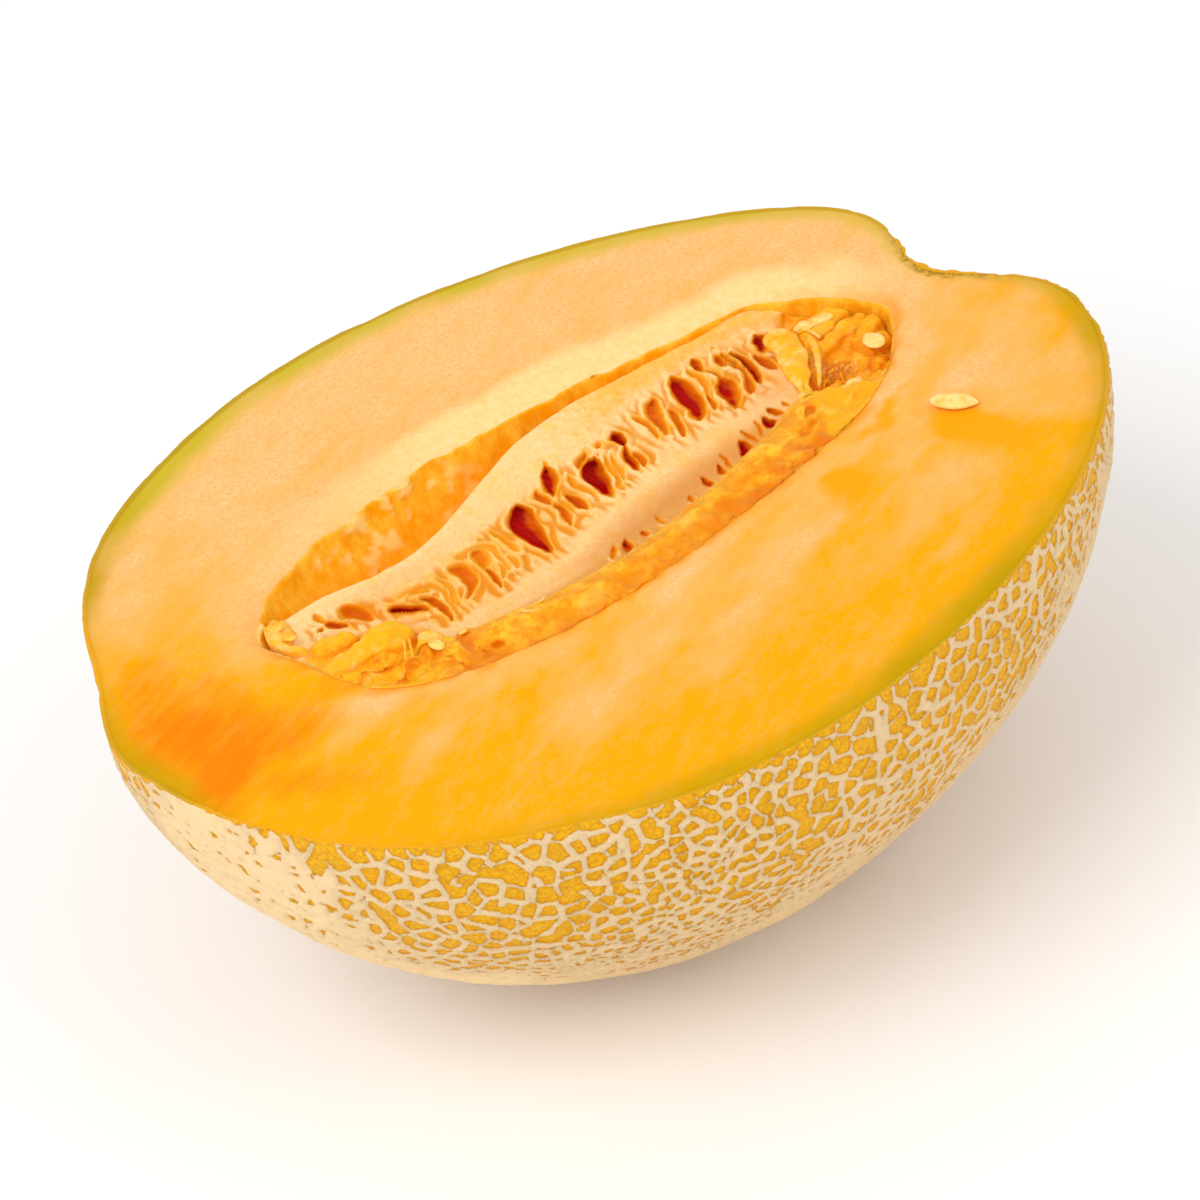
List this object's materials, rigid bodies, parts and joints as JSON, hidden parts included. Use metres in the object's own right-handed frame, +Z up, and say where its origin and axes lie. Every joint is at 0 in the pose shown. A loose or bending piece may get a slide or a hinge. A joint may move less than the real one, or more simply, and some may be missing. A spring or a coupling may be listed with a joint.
{
  "type": "netted melon half",
  "caption": "Half of a netted orange-fleshed melon, cut lengthwise, with its folded seed core in the hollow, a stem dimple and a loose seed on the cut face.",
  "frame": {"origin": "on the floor under the middle of the half's box in plan", "axes": "+X along the melon towards the stem end, +Z up out of the level cut face"},
  "size_m": [0.1884, 0.1556, 0.0782],
  "materials": {
    "flesh": "moist orange fruit flesh with a netted tan rind outside",
    "seed_core": "wet cream and orange fibres round the seed pockets"
  },
  "bodies": {
    "root": {"flesh": "flesh", "seed_core": "seed_core"}
  },
  "joints": []
}
